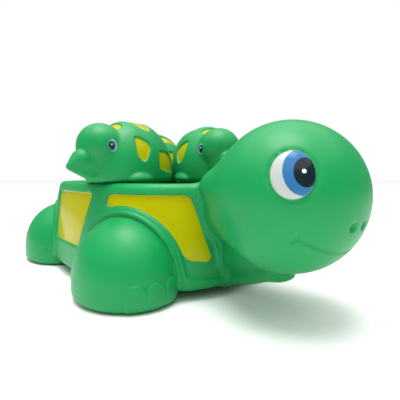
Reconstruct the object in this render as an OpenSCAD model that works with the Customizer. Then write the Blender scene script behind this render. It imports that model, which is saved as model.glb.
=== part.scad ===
// Squeaky bath toy: a mother turtle with a tray in her back and three baby turtles that ride in it.
// Millimetres. +X is the way the mother looks, +Z is up, the ground is z = 0.
// The origin is on the ground under the middle of her length.

/* [Mother shell] */
// Length of the shell where it is widest
shell_l = 132; // [124:1:140]
// Width of the shell where it is widest
shell_w = 91; // [88:1:96]
// Height of the tray rim above the ground
rim_h = 44; // [42:0.5:48]
// Height of the belly above the ground
belly_h = 1.5; // [1:0.5:3]
// How far the rim is drawn in from the widest line
shell_flare = 5; // [3:0.5:7]
// Squareness of the outline, 2 is an ellipse
shell_square = 2.5; // [2.2:0.1:3]
// Depth of the painted pockets
pocket_depth = 1; // [0.6:0.1:1.4]
// Thickness of the moulded skin
wall = 2.4; // [2:0.1:3]

/* [Mother head and legs] */
// Diameter of the head
head_d = 50; // [46:1:52]
// Distance from the middle of the shell to the middle of the head
head_x = 91.5; // [89:0.5:95]
// Height of the middle of the head
head_h = 40; // [38:0.5:42]
// Height of a leg
leg_h = 31.5; // [30:0.5:33]
// Half the length of a leg
leg_a = 22.8; // [22:0.2:24]
// Half the width of a leg
leg_b = 20.2; // [18:0.2:21]
// Distance of a leg from the middle, along the body
leg_x = 40.2; // [38:0.2:42]
// Distance of a leg from the middle, across the body
leg_y = 33.8; // [33:0.2:36]
// Turn of the toes inwards on a front leg
front_toe_turn = 8; // [0:1:20]
// Turn of the toes outwards on a rear leg
rear_toe_turn = 32; // [0:1:40]

/* [Tray] */
// Height of the tray floor above the ground
tray_floor = 31; // [28:0.5:33]
// Width of the rim between the shell and the tray
rim_w = 4.8; // [4.6:0.1:6]

/* [Babies] */
// Half the length of a baby's shell
baby_a = 21; // [19:0.5:21]
// Half the width of a baby's shell
baby_b = 17; // [16:0.5:17]
// Height of a baby
baby_h = 40.5; // [38:0.5:42]
// Diameter of a baby's head
baby_head_d = 19.6; // [18.6:0.2:20.2]
// Thickness of a baby's skin
baby_wall = 1.6; // [1.5:0.1:1.7]

/* [Squeakers] */
// Diameter of the mother's squeaker sleeve
sleeve_d = 11; // [10:0.5:12]
// Size of a baby's squeaker against the mother's
baby_sleeve_scale = 0.66; // [0.6:0.02:0.7]

/* [Colours] */
// Moulded skin
skin_green = "#2fa860"; // [#2fa860:green, #3c8fd0:blue]
// Paint in the pockets
pocket_yellow = "#b7b80c"; // [#b7b80c:yellow, #e07a1c:orange]
// Squeaker plastic
squeaker_white = "#e8e6dc"; // [#e8e6dc:white, #c8c8c8:grey]

/* [Hidden] */

eye_white = "#d4dad2";
eye_blue = "#4385bd";
eye_dark = "#14292c";

belly_round = 5;
rim_round = 2.3;
waist_h = 10;
tail_x = 70;
middle_x = (head_x + head_d / 2 - tail_x) / 2;
head_r = head_d / 2;
leg_mid = 7.7;
arch = 3.6;

// Place and heading of each baby on the tray floor
right_seat = [20.5, -21.2, -77];
front_seat = [29, 15.7, -15];
rear_seat = [-13.5, 11, 180];

baby_belly = 3;
baby_edge = 13.8;
baby_mid = 18.5;
baby_head_x = 15.8;
baby_head_z = 27.9;
baby_head_r = baby_head_d / 2;
baby_feet_at = [[5, 9.2], [-8.5, 8]];
baby_thigh = [4.5, 12.8];
seat_gap = 0.05;

sleeve_l = 11;
flange_t = 1.4;
bore_r = sleeve_d / 2 - 1.4;
bed_z = 2.2;
root_l = 2.6;
reed_gap = 0.1;
reed_t = 0.26;

// Inset of a rounded edge of radius r at distance d from its end
function rounding(d, r) = d >= r ? 0 : r - sqrt(r * r - (r - d) * (r - d));

// Heights that follow a rounded edge of radius r
function edge_steps(r) = [for (k = [0:2]) r * (1 - cos(45 * k))];

// One level of a form: a superellipse with half axes a and b
function ring(a, b, z, square, seg) = [
    for (i = [0:seg - 1])
        let (c = cos(360 * i / seg), s = sin(360 * i / seg))
        [a * sign(c) * pow(abs(c), 2 / square), b * sign(s) * pow(abs(s), 2 / square), z]
];

// Direction from its heading and its height angle
function aim(az, el) = [cos(el) * cos(az), cos(el) * sin(az), sin(el)];

// Skin a list of rings, lowest first
module loft(rings) {
    seg = len(rings[0]);
    top = (len(rings) - 1) * seg;
    sides = [
        for (j = [0:len(rings) - 2], i = [0:seg - 1])
            let (p = j * seg + i, q = j * seg + (i + 1) % seg)
            each [[p, p + seg, q], [q, p + seg, q + seg]]
    ];
    polyhedron(
        [for (r = rings) each r],
        concat([[for (i = [0:seg - 1]) i]], sides, [[for (i = [seg - 1:-1:0]) top + i]])
    );
}

module ellipsoid(radii, seg) {
    scale(radii) sphere(r = 1, $fn = seg);
}

// Dome with a flat sole, half axes a and b, inset by e
module dome(a, b, h, mid, sole_round, e, seg, steps) {
    sole = [for (d = edge_steps(sole_round)) [e + d, 1, rounding(d, sole_round)]];
    crown = [
        for (k = [0:steps])
            let (t = 86 * k / steps)
            [mid + (h - e - mid) * sin(t), cos(t), 0]
    ];
    loft([for (l = concat(sole, crown)) ring((a - e) * l[1] - l[2], (b - e) * l[1] - l[2], l[0], 2, seg)]);
}

// Mirror to the other side, front to rear, or both
module both_sides() {
    children();
    mirror([0, 1, 0]) children();
}

module both_ends() {
    children();
    mirror([1, 0, 0]) children();
}

// Inset of the shell's side at height z
function shell_inset(z) =
    rounding(z - belly_h, belly_round)
    + rounding(rim_h - z, rim_round)
    + shell_flare * pow(max(0, (z - waist_h) / (rim_h - waist_h)), 1.6);

side_levels = concat(
    [for (d = edge_steps(belly_round)) belly_h + d],
    [for (k = [0:3]) waist_h + 2 + k * (rim_h - rim_round - waist_h - 6) / 3],
    [for (k = [2:-1:0]) rim_h - edge_steps(rim_round)[k]]
);

// Outside of the shell, inset by e
module shell_form(e, seg) {
    span = (rim_h - belly_h - 2 * e) / (rim_h - belly_h);
    loft([
        for (z = side_levels)
            ring(
                shell_l / 2 - shell_inset(z) - e, shell_w / 2 - shell_inset(z) - e,
                belly_h + e + (z - belly_h) * span, shell_square, seg
            )
    ]);
}

// Space of the tray, grown by g
module tray_space(g, seg) {
    inner = shell_flare + rim_w;
    drops = edge_steps(rim_round);
    lip = [for (k = [2:-1:0]) [rim_h - drops[k], -rounding(drops[k], rim_round)]];
    levels = concat([[tray_floor - g, 2], [tray_floor + 2 - g, 0.4]], lip, [[rim_h + 30, -rim_round]]);
    loft([
        for (l = levels)
            ring(
                shell_l / 2 - inner - l[1] + g, shell_w / 2 - inner - l[1] + g,
                l[0], shell_square, seg
            )
    ]);
}

module leg_form(e, seg, steps) {
    translate([leg_x, leg_y, 0]) dome(leg_a, leg_b, leg_h, leg_mid, 4, e, seg, steps);
}

module four_legs(e, seg, steps) {
    both_ends() both_sides() leg_form(e, seg, steps);
}

// Three rounded toes along the front of a leg, turned by turn
module toes(turn) {
    for (k = [-1:1]) {
        at = turn + 25 * k;
        translate([leg_a * 0.86 * cos(at), leg_b * 0.86 * sin(at), 6.4]) rotate([0, 0, at])
            ellipsoid([4.3, 4.4, 6.3], 12);
    }
}

module all_toes() {
    both_sides() {
        translate([leg_x, -leg_y, 0]) toes(front_toe_turn);
        translate([-leg_x, -leg_y, 0]) toes(-rear_toe_turn);
    }
}

module neck_form(e, seg) {
    hull() {
        translate([57, 0, 32]) sphere(r = 12.5 - e, $fn = seg);
        translate([80, 0, 37.5]) sphere(r = 18 - e, $fn = seg);
    }
}

module tail_form(e, seg) {
    hull() {
        translate([-57, 0, 12]) sphere(r = 7 - e, $fn = seg);
        translate([-tail_x + 3, 0, 9]) sphere(r = 3 - e, $fn = seg);
    }
}

// Breast that narrows to a keel at the belly and ends in a lip under the chin
module breast() {
    hull() {
        translate([60, 0, 6.5]) sphere(r = 4.5, $fn = 12);
        translate([58, 0, 30]) sphere(r = 12, $fn = 16);
        translate([88, 0, 14]) ellipsoid([7.8, 7, 3.6], 12);
        translate([80, 0, 36]) sphere(r = 16, $fn = 16);
    }
}

// Windows of the pockets on the side and around each corner of the shell
module pocket_windows() {
    both_sides() {
        rotate([90, 0, 0]) linear_extrude(80) offset(r = 2.5) offset(delta = -2.5)
            polygon([[-23, rim_h - 4], [23, rim_h - 4], [16, 16], [-16, 16]]);
        both_ends() difference() {
            rotate([90, 0, 45]) linear_extrude(100) offset(r = 2.4) offset(delta = -2.4)
                polygon([[-4, rim_h - 4], [31, rim_h - 4], [40, 16], [20, 15], [-4, 28]]);
            mirror([0, 1, 0]) leg_form(-arch - 1, 18, 4);
        }
    }
}

// Raised arches over the legs and the collar around the neck
module raised_edges() {
    intersection() {
        shell_form(-0.9, 36);
        union() {
            four_legs(-arch, 18, 4);
            neck_form(-3, 14);
        }
    }
}

// Turn a thing on the head to a heading and a height angle
module on_head(az, el) {
    translate([head_x, 0, head_h]) rotate([0, -el, az]) children();
}

module eye_socket() {
    translate([head_r - 0.9, 0, 0]) ellipsoid([1.2, 7.2, 8], 16);
}

// Eyeball with its iris and pupil, the pupil towards the front
module eye_ball() {
    color(eye_white) translate([head_r - 1.2, 0, 0]) ellipsoid([2.2, 6.3, 7.1], 14);
    color(eye_blue) rotate([0, 0, 4.5]) translate([head_r - 1.15, 0, 0]) ellipsoid([2.3, 4.9, 6], 10);
    color(eye_dark) rotate([0, 0, 6]) translate([head_r - 1.1, 0, 0]) ellipsoid([2.4, 3, 4.2], 8);
}

// Smile: a groove between two upturned corners
module smile() {
    marks = [for (k = [-3:3]) aim(k * 15.6, -37 + 14 * k * k / 9) * (head_r + 0.25)];
    translate([head_x, 0, head_h]) {
        for (k = [0:len(marks) - 2]) hull() {
            translate(marks[k]) sphere(r = 0.8, $fn = 5);
            translate(marks[k + 1]) sphere(r = 0.8, $fn = 5);
        }
        both_sides() hull() {
            translate(aim(50, -25) * (head_r + 0.25)) sphere(r = 0.8, $fn = 5);
            translate(aim(44, -20) * (head_r + 0.25)) sphere(r = 0.8, $fn = 5);
        }
    }
}

// Head with its eye sockets, nostrils and smile
module head_form() {
    difference() {
        translate([head_x, 0, head_h]) sphere(r = head_r, $fn = 32);
        both_sides() on_head(51, 16) eye_socket();
        both_sides() on_head(7, -16.5) translate([head_r + 0.3, 0, 0]) sphere(r = 1.4, $fn = 8);
        smile();
    }
}

module mother_outside() {
    difference() {
        union() {
            color(pocket_yellow) shell_form(pocket_depth, 40);
            color(skin_green) {
                difference() {
                    shell_form(0, 40);
                    pocket_windows();
                }
                raised_edges();
                four_legs(0, 20, 4);
                all_toes();
                neck_form(0, 16);
                tail_form(0, 10);
                breast();
                head_form();
            }
            both_sides() mirror([0, 1, 0]) on_head(-51, 16) eye_ball();
        }
        color(skin_green) tray_space(0, 36);
    }
}

// Air chamber of the mother, open at the squeaker hole
module mother_chamber() {
    difference() {
        shell_form(wall, 16);
        tray_space(wall, 16);
    }
    four_legs(wall, 8, 2);
    neck_form(wall, 8);
    translate([head_x, 0, head_h]) sphere(r = head_r - wall, $fn = 12);
}

// Hole and flange seat for a squeaker, in the belly at height z
module squeaker_hole(z) {
    translate([0, 0, z - 1]) cylinder(r = sleeve_d / 2 + 2.8, h = 1 + flange_t, $fn = 20);
    translate([0, 0, z]) cylinder(r = sleeve_d / 2 + 0.2, h = 9, $fn = 20);
}

// Sleeve with an outer flange, a bead behind the skin and an air mouth
module sleeve_form() {
    difference() {
        union() {
            cylinder(r = sleeve_d / 2 + 2.4, h = flange_t - 0.1, $fn = 48);
            cylinder(r = sleeve_d / 2, h = sleeve_l, $fn = 48);
            translate([0, 0, 2.6]) cylinder(r = sleeve_d / 2 + 0.8, h = 1, $fn = 48);
        }
        translate([0, 0, bed_z]) cylinder(r = bore_r, h = sleeve_l, $fn = 48);
        translate([0, 0, -1]) cylinder(r = bore_r * 0.62, h = sleeve_l, $fn = 32);
    }
}

// Bed of the reed: a round root with a slit, and a half-round tongue that falls away from the reed
module reed_bed_form() {
    bed_l = sleeve_l - bed_z - 0.4;
    difference() {
        translate([0, 0, bed_z]) cylinder(r = bore_r - 0.02, h = bed_l, $fn = 40);
        translate([-bore_r - 1, -reed_gap, bed_z + root_l]) cube([2 * bore_r + 2, 2 * bore_r, bed_l]);
        translate([0, -reed_gap, bed_z + root_l]) rotate([6, 0, 0]) translate([-bore_r - 1, 0, 0])
            cube([2 * bore_r + 2, 2 * bore_r, bed_l + 2]);
        translate([-bore_r * 0.72, -reed_gap, bed_z - 1])
            cube([bore_r * 1.44, reed_t + 2 * reed_gap, root_l + 2]);
        translate([-0.9, -1.6, bed_z - 1]) cube([1.8, 1.7, bed_l + 2]);
    }
}

// Thin spring tongue that buzzes over the channel
module reed_form() {
    translate([-bore_r * 0.66, 0, bed_z + 0.9]) cube([bore_r * 1.32, reed_t, sleeve_l - bed_z - 2.1]);
}

// Set a thing of the mother into the frame
module mother_place() {
    translate([-middle_x, 0, 0]) children();
}

module mother_belly_place() {
    mother_place() translate([0, 0, belly_h]) children();
}

// Set a thing of a baby on its seat
module seat_place(seat) {
    mother_place() translate([seat[0], seat[1], tray_floor + seat_gap]) rotate([0, 0, seat[2]]) children();
}

module baby_belly_place(seat) {
    seat_place(seat) translate([0, 0, baby_belly]) scale(baby_sleeve_scale) children();
}

module baby_shell(e, seg, steps) {
    translate([0, 0, baby_edge])
        dome(baby_a, baby_b, baby_h - baby_edge, baby_mid - baby_edge, 3.2, e, seg, steps);
}

// Trunk under the shell, inset by e
module baby_trunk(e, seg, steps) {
    translate([0, 0, baby_belly]) dome(12.5, 12, 22, 8, 3, e, seg, steps);
}

// Feet under the shell and the thighs of the front legs, which swell out at its edge
module baby_legs(seg, steps) {
    both_sides() {
        for (at = baby_feet_at) translate([at[0], at[1], 0]) dome(4.6, 4.6, 15, 5, 1.4, 0, seg, steps);
        translate([baby_thigh[0], baby_thigh[1], baby_edge - 0.3]) dome(5.4, 5.2, 3.3, 1, 0.8, 0, seg, steps);
    }
}

// Head with its muzzle, inset by e
module baby_head(e, seg) {
    translate([baby_head_x, 0, baby_head_z]) sphere(r = baby_head_r - e, $fn = seg);
    hull() {
        translate([baby_head_x + 1.4, 0, baby_head_z - 6.4]) sphere(r = 7.6 - e, $fn = seg);
        translate([baby_head_x + 10.8, 0, baby_head_z - 7.1]) sphere(r = 5.2 - e, $fn = seg);
    }
    hull() {
        translate([6, 0, 21]) sphere(r = 10 - e, $fn = seg);
        translate([baby_head_x, 0, baby_head_z - 2]) sphere(r = 8.5 - e, $fn = seg);
    }
}

// Pockets along the middle of a baby's shell: corners as heading and height angle
spine_scutes = [
    [[-34, 62], [34, 62], [30, 50], [-30, 50]],
    [[48, 70], [84, 57], [98, 56], [120, 63], [-120, 63], [-98, 56], [-84, 57], [-48, 70]],
    [[138, 56], [-138, 56], [-140, 36], [140, 36]],
    [[152, 22], [-152, 22], [-158, -4], [158, -4]]
];

// Pockets on each side of it
side_scutes = [
    [[56, 46], [85, 36], [80, 20], [70, 9], [60, 18]],
    [[100, 27], [138, 18], [138, -4], [97, 4]]
];

// Window that opens from the middle of the shell through its corners
module scute_window(corners) {
    hull() {
        cube(0.5, center = true);
        for (c = corners) translate(aim(c[0], c[1]) * 26) cube(0.5, center = true);
    }
}

module scute_windows() {
    translate([0, 0, baby_mid]) {
        for (s = spine_scutes) scute_window(s);
        both_sides() for (s = side_scutes) scute_window(s);
    }
}

module on_baby_head(az, el) {
    translate([baby_head_x, 0, baby_head_z]) rotate([0, -el, az]) children();
}

module baby_eye() {
    color(eye_white) translate([baby_head_r - 0.6, 0, 0]) ellipsoid([1.1, 2, 2.45], 8);
    color(eye_dark) rotate([0, 0, -3]) translate([baby_head_r - 0.55, 0, 0]) ellipsoid([1.2, 1.2, 1.6], 8);
}

module baby_outside() {
    color(pocket_yellow) baby_shell(0.7, 18, 4);
    color(skin_green) {
        difference() {
            baby_shell(0, 18, 4);
            scute_windows();
        }
        baby_trunk(0, 12, 2);
        baby_legs(10, 3);
        baby_head(0, 12);
        hull() {
            translate([-10.5, 0, 11]) sphere(r = 4, $fn = 6);
            translate([-19.4, 0, 9.5]) sphere(r = 1.8, $fn = 6);
        }
    }
    both_sides() on_baby_head(84, 0) baby_eye();
}

module baby_chamber() {
    baby_shell(baby_wall, 8, 2);
    translate([0, 0, baby_belly + baby_wall]) cylinder(r = 8.6, h = 20, $fn = 8);
    translate([baby_head_x, 0, baby_head_z]) sphere(r = baby_head_r - baby_wall, $fn = 8);
}

module baby_body(seat) {
    seat_place(seat) difference() {
        baby_outside();
        baby_chamber();
        translate([0, 0, baby_belly]) scale(baby_sleeve_scale) squeaker_hole(0);
    }
}

module mother_body() {
    mother_place() difference() {
        mother_outside();
        mother_chamber();
        squeaker_hole(belly_h);
    }
}

module mother_squeaker_sleeve() {
    color(squeaker_white) mother_belly_place() sleeve_form();
}

module mother_reed_bed() {
    color(squeaker_white) mother_belly_place() reed_bed_form();
}

module mother_reed() {
    color("gold") mother_belly_place() reed_form();
}

module baby_squeaker_sleeve(seat) {
    color(squeaker_white) baby_belly_place(seat) sleeve_form();
}

module baby_reed_bed(seat) {
    color(squeaker_white) baby_belly_place(seat) reed_bed_form();
}

module baby_reed(seat) {
    color("gold") baby_belly_place(seat) reed_form();
}

mother_body();
mother_squeaker_sleeve();
mother_reed_bed();
mother_reed();
baby_body(right_seat);  // baby_right_body
baby_squeaker_sleeve(right_seat);  // baby_right_squeaker_sleeve
baby_reed_bed(right_seat);  // baby_right_reed_bed
baby_reed(right_seat);  // baby_right_reed
baby_body(front_seat);  // baby_front_body
baby_squeaker_sleeve(front_seat);  // baby_front_squeaker_sleeve
baby_reed_bed(front_seat);  // baby_front_reed_bed
baby_reed(front_seat);  // baby_front_reed
baby_body(rear_seat);  // baby_rear_body
baby_squeaker_sleeve(rear_seat);  // baby_rear_squeaker_sleeve
baby_reed_bed(rear_seat);  // baby_rear_reed_bed
baby_reed(rear_seat);  // baby_rear_reed
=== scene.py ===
"""Looks of a squeaky bath toy: a cast vinyl turtle with a tray in her back and three babies in it.

Sizes are millimetres while a piece is modelled. A finished mesh is in metres, in the part's frame.
"""

import logging
import math
from collections.abc import Callable, Iterator, Sequence
from contextlib import contextmanager
from dataclasses import dataclass, field
from enum import Enum

import bmesh
import bpy
import numpy as np
from mathutils import Matrix, Vector


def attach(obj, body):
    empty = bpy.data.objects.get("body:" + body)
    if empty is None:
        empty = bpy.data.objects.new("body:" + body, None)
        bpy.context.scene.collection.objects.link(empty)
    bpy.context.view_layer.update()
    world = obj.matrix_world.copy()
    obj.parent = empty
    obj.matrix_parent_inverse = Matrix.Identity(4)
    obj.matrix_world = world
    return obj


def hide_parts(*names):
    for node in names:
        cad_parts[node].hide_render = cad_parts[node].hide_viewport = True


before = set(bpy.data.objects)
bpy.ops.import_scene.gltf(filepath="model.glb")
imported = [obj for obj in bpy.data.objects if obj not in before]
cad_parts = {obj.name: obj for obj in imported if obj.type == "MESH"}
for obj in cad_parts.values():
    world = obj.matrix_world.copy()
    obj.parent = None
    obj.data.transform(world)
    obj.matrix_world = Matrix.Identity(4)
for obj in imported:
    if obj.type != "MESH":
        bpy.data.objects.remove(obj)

log = logging.getLogger("bath_toy")

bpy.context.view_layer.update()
MM = 0.001
FAR = 99.0
Place = tuple[float, float, float]
Corner = tuple[float, float]
Gap = np.ndarray

# Seat and space of a squeaker: radius, and height over the belly, at the mother's size
SQUEAKER_SEAT: tuple[Corner, ...] = (
    (0, -1), (8.3, -1), (8.3, 1.4), (5.7, 1.4), (5.7, 2.4), (6.6, 2.6), (6.6, 12), (0, 12),
)


class Primitive(Enum):
    """Starting solid of a blocked-out form."""

    BOX = "box"
    BALL = "ball"
    CONE = "cone"


class Paint(Enum):
    """Painted area of a skin: the mesh attribute with the gap to its edge, in mm, negative inside."""

    POCKET = "pocket_gap"
    EYE_WHITE = "eye_white_gap"
    IRIS = "iris_gap"
    PUPIL = "pupil_gap"
    GLINT = "glint_gap"


# Gaps: how far a point is from a form, in mm, negative inside it


def ellipsoid_gap(x: Gap, y: Gap, z: Gap, radii: Place) -> Gap:
    """Gap to an ellipsoid at the origin.

    Args:
        x, y, z: Coordinates of the points.
        radii: Half axes of the ellipsoid.

    Returns:
        The gap at each point.
    """
    a, b, c = radii
    near = np.sqrt((x / a) ** 2 + (y / b) ** 2 + (z / c) ** 2)
    slope = np.sqrt((x / a**2) ** 2 + (y / b**2) ** 2 + (z / c**2) ** 2)
    return near * (near - 1.0) / np.maximum(slope, 1e-9)


@dataclass(frozen=True)
class Rod:
    """A tapered rod with a ball at each end. A tight one is drawn like a skin round both balls."""

    start: Place
    start_r: float
    end: Place
    end_r: float
    tight: bool = False

    def gap(self, x: Gap, y: Gap, z: Gap) -> Gap:
        """Gap to the rod.

        Args:
            x, y, z: Coordinates of the points.

        Returns:
            The gap at each point.
        """
        along = np.subtract(self.end, self.start)
        span = float(along @ along)
        offset = [p - s for p, s in zip((x, y, z), self.start)]
        share = sum(o * a for o, a in zip(offset, along)) / span
        if self.tight:
            side = np.sqrt(np.maximum(sum(o * o for o in offset) - share * share * span, 0.0))
            fall = (self.start_r - self.end_r) / math.sqrt(span)
            share = share - side * fall / math.sqrt((1.0 - fall * fall) * span)
        share = np.clip(share, 0.0, 1.0)
        reach = np.sqrt(sum((o - share * a) ** 2 for o, a in zip(offset, along)))
        return reach - (self.start_r + (self.end_r - self.start_r) * share)


def oval_gap(x: Gap, y: Gap, half: Corner, square: float) -> Gap:
    """Gap to a squarish oval in a plane.

    Args:
        x, y: Coordinates of the points, both positive.
        half: Half axes, which may change from point to point.
        square: Power of the outline: 2 is an ellipse.

    Returns:
        The gap at each point.
    """
    a, b = half
    form = np.maximum((x / a) ** square + (y / b) ** square, 1e-6) ** (1.0 / square)
    steep_x = form ** (1.0 - square) * x ** (square - 1.0) / a**square
    steep_y = form ** (1.0 - square) * y ** (square - 1.0) / b**square
    return (form - 1.0) / np.maximum(np.hypot(steep_x, steep_y), 1e-6)


def round_meet(first: Gap, second: Gap, radius: float) -> Gap:
    """Gap to what two forms share, with their common edge rounded by a radius."""
    inner = np.minimum(np.maximum(first, second), -radius)
    return inner + np.hypot(np.maximum(first + radius, 0.0), np.maximum(second + radius, 0.0))


def soft_join(first: Gap, second: Gap, fillet: float) -> Gap:
    """Gap to two forms together, with a fillet of a given width where they meet."""
    share = np.clip(0.5 + 0.5 * (second - first) / fillet, 0.0, 1.0)
    return second + (first - second) * share - fillet * share * (1.0 - share)


def soft_cut(form: Gap, tool: Gap, fillet: float) -> Gap:
    """Gap to a form with another one cut out of it, with a softened edge."""
    return -soft_join(-form, tool, fillet)


def outline_gap(u: Gap, v: Gap, corners: Sequence[Corner], radius: float) -> Gap:
    """Gap to a convex outline with rounded corners.

    Args:
        u, v: Coordinates of the points in the outline's plane.
        corners: Corners of the outline, clockwise.
        radius: Rounding of each corner.

    Returns:
        The gap at each point.
    """
    gap: Gap | None = None
    for (u0, v0), (u1, v1) in zip(corners, [*corners[1:], corners[0]]):
        length = math.hypot(u1 - u0, v1 - v0)
        side = ((u - u0) * (v0 - v1) + (v - v0) * (u1 - u0)) / length
        gap = side if gap is None else round_meet(gap, side, radius)
    return gap


def ease(gap: Gap, width: float) -> Gap:
    """Share of a recess at a gap from its edge: 1 inside, 0 outside, eased over a width."""
    share = np.clip(0.5 - gap / width, 0.0, 1.0)
    return share * share * (3.0 - 2.0 * share)


def aim(heading: float, rise: float) -> np.ndarray:
    """Direction of a heading and a height angle, in degrees."""
    h, r = math.radians(heading), math.radians(rise)
    return np.array((math.cos(r) * math.cos(h), math.cos(r) * math.sin(h), math.sin(r)))


class Bench:
    """Modelling moves by Blender's operators."""

    ROUND_SIDES = 48
    BALL_RINGS = 32
    CONE_TOP = 0.32

    @staticmethod
    def clear() -> None:
        """Leave edit mode and deselect everything."""
        if bpy.context.object and bpy.context.object.mode != "OBJECT":
            bpy.ops.object.mode_set(mode="OBJECT")
        bpy.ops.object.select_all(action="DESELECT")

    @staticmethod
    def only(obj: bpy.types.Object) -> None:
        """Make one object the active and only selected one."""
        Bench.clear()
        obj.select_set(True)
        bpy.context.view_layer.objects.active = obj

    @staticmethod
    @contextmanager
    def editing(obj: bpy.types.Object) -> Iterator[bpy.types.Mesh]:
        """Edit mode on one object, with all of it selected.

        Args:
            obj: Object to edit.

        Returns:
            Its mesh, for selecting faces by place.
        """
        Bench.only(obj)
        bpy.ops.object.mode_set(mode="EDIT")
        bpy.ops.mesh.select_mode(type="FACE")
        bpy.ops.mesh.select_all(action="SELECT")
        yield obj.data
        bpy.ops.object.mode_set(mode="OBJECT")

    @staticmethod
    def pick(mesh: bpy.types.Mesh, kind: str, test: Callable[[object], bool]) -> None:
        """Select what passes a test in edit mode.

        Args:
            mesh: Mesh in edit mode.
            kind: "VERT", "EDGE" or "FACE".
            test: Takes one vertex, edge or face.
        """
        bpy.ops.mesh.select_mode(type=kind)
        bpy.ops.mesh.select_all(action="DESELECT")
        edit = bmesh.from_edit_mesh(mesh)
        for item in {"VERT": edit.verts, "EDGE": edit.edges, "FACE": edit.faces}[kind]:
            item.select_set(test(item))
        edit.select_flush_mode()
        bmesh.update_edit_mesh(mesh)

    @staticmethod
    def block(kind: Primitive, at: Place, size: Place, lean: float = 0.0) -> bpy.types.Object:
        """Add a primitive and bring it to its size and place in edit mode.

        Args:
            kind: Which solid.
            at: Its middle.
            size: Its whole size along X, Y and Z.
            lean: Turn about Y in degrees, after sizing.

        Returns:
            The new object.
        """
        Bench.clear()
        if kind is Primitive.BOX:
            bpy.ops.mesh.primitive_cube_add(size=1.0)
        elif kind is Primitive.BALL:
            bpy.ops.mesh.primitive_uv_sphere_add(
                segments=Bench.ROUND_SIDES, ring_count=Bench.BALL_RINGS, radius=0.5
            )
        else:
            bpy.ops.mesh.primitive_cone_add(
                vertices=Bench.ROUND_SIDES, radius1=0.5, radius2=Bench.CONE_TOP, depth=1.0
            )
        obj = bpy.context.object
        with Bench.editing(obj):
            bpy.ops.transform.resize(value=size)
            if lean:
                turn = -math.radians(lean)
                bpy.ops.transform.rotate(value=turn, orient_axis="Y", center_override=(0.0, 0.0, 0.0))
            bpy.ops.transform.translate(value=at)
        return obj

    @staticmethod
    def ball(at: Place, radii: Place) -> bpy.types.Object:
        """Add a ball or an egg by its middle and half axes."""
        return Bench.block(Primitive.BALL, at, tuple(2 * r for r in radii))

    @staticmethod
    def cut_below(obj: bpy.types.Object, height: float) -> bpy.types.Object:
        """Cut off what lies below a height, and close the cut."""
        with Bench.editing(obj):
            bpy.ops.mesh.bisect(
                plane_co=(0, 0, height), plane_no=(0, 0, 1), use_fill=True, clear_inner=True
            )
        return obj

    @staticmethod
    def finish(obj: bpy.types.Object, kind: str, **settings: object) -> None:
        """Add a modifier with its settings and apply it.

        Args:
            obj: Object that gets it.
            kind: Modifier type.
            settings: Its settings by name.
        """
        Bench.only(obj)
        modifier = obj.modifiers.new(kind.title(), kind)
        for name, value in settings.items():
            setattr(modifier, name, value)
        bpy.ops.object.modifier_apply(modifier=modifier.name)

    @staticmethod
    def join(objects: Sequence[bpy.types.Object], name: str) -> bpy.types.Object:
        """Join objects into the first one and name it."""
        Bench.clear()
        for obj in objects:
            obj.select_set(True)
        bpy.context.view_layer.objects.active = objects[0]
        bpy.ops.object.join()
        objects[0].name = name
        objects[0].data.name = name
        return objects[0]

    @staticmethod
    def points(mesh: bpy.types.Mesh) -> np.ndarray:
        """Vertex places of a mesh, one row each."""
        places = np.empty(len(mesh.vertices) * 3)
        mesh.vertices.foreach_get("co", places)
        return places.reshape(-1, 3)

    @staticmethod
    def put(mesh: bpy.types.Mesh, places: np.ndarray) -> None:
        """Move the vertices of a mesh to new places."""
        mesh.vertices.foreach_set("co", places.reshape(-1))
        mesh.update()


@dataclass(frozen=True)
class Spot:
    """A painted oval of an eye: its middle, towards the nose and up, and its half axes."""

    paint: Paint
    at: Corner
    half: Corner


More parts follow.
